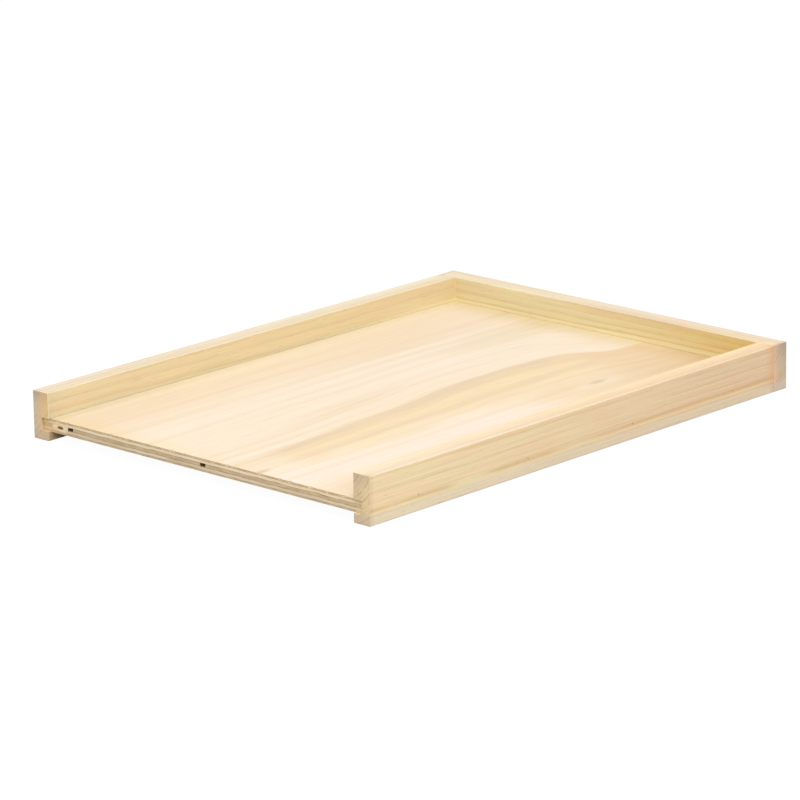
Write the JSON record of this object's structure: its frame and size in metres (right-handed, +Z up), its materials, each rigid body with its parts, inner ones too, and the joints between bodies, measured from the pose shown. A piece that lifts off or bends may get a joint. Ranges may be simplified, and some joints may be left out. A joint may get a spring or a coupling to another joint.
{
  "type": "solid bottom board",
  "caption": "Hive floor of plywood held in grooves in softwood rails on the sides and back, open at the front as the bees' entrance.",
  "frame": {"origin": "on the ground under the middle of the board", "axes": "+X to the right-hand rail, -Y towards the open front, +Z up with the deep side of the floor up"},
  "size_m": [0.413, 0.559, 0.0445],
  "materials": {
    "rail_pine": "planed bare pine",
    "floor_veneer": "sanded pine veneer",
    "crossband_veneer": "sawn veneer edge",
    "core_veneer": "sawn veneer end grain",
    "galvanised_nail": "dull zinc"
  },
  "bodies": {
    "root": {"left_side_rail": "rail_pine", "right_side_rail": "rail_pine", "back_rail": "rail_pine", "floor_face_veneer": "floor_veneer", "floor_upper_crossband": "crossband_veneer", "floor_core_left_strip": "core_veneer", "floor_core_middle_strip": "core_veneer", "floor_core_right_strip": "core_veneer", "floor_lower_crossband": "crossband_veneer", "floor_back_veneer": "floor_veneer", "corner_nails_left": "galvanised_nail", "corner_nails_right": "galvanised_nail", "floor_brads_left": "galvanised_nail", "floor_brads_right": "galvanised_nail", "floor_brads_back": "galvanised_nail"}
  },
  "joints": []
}
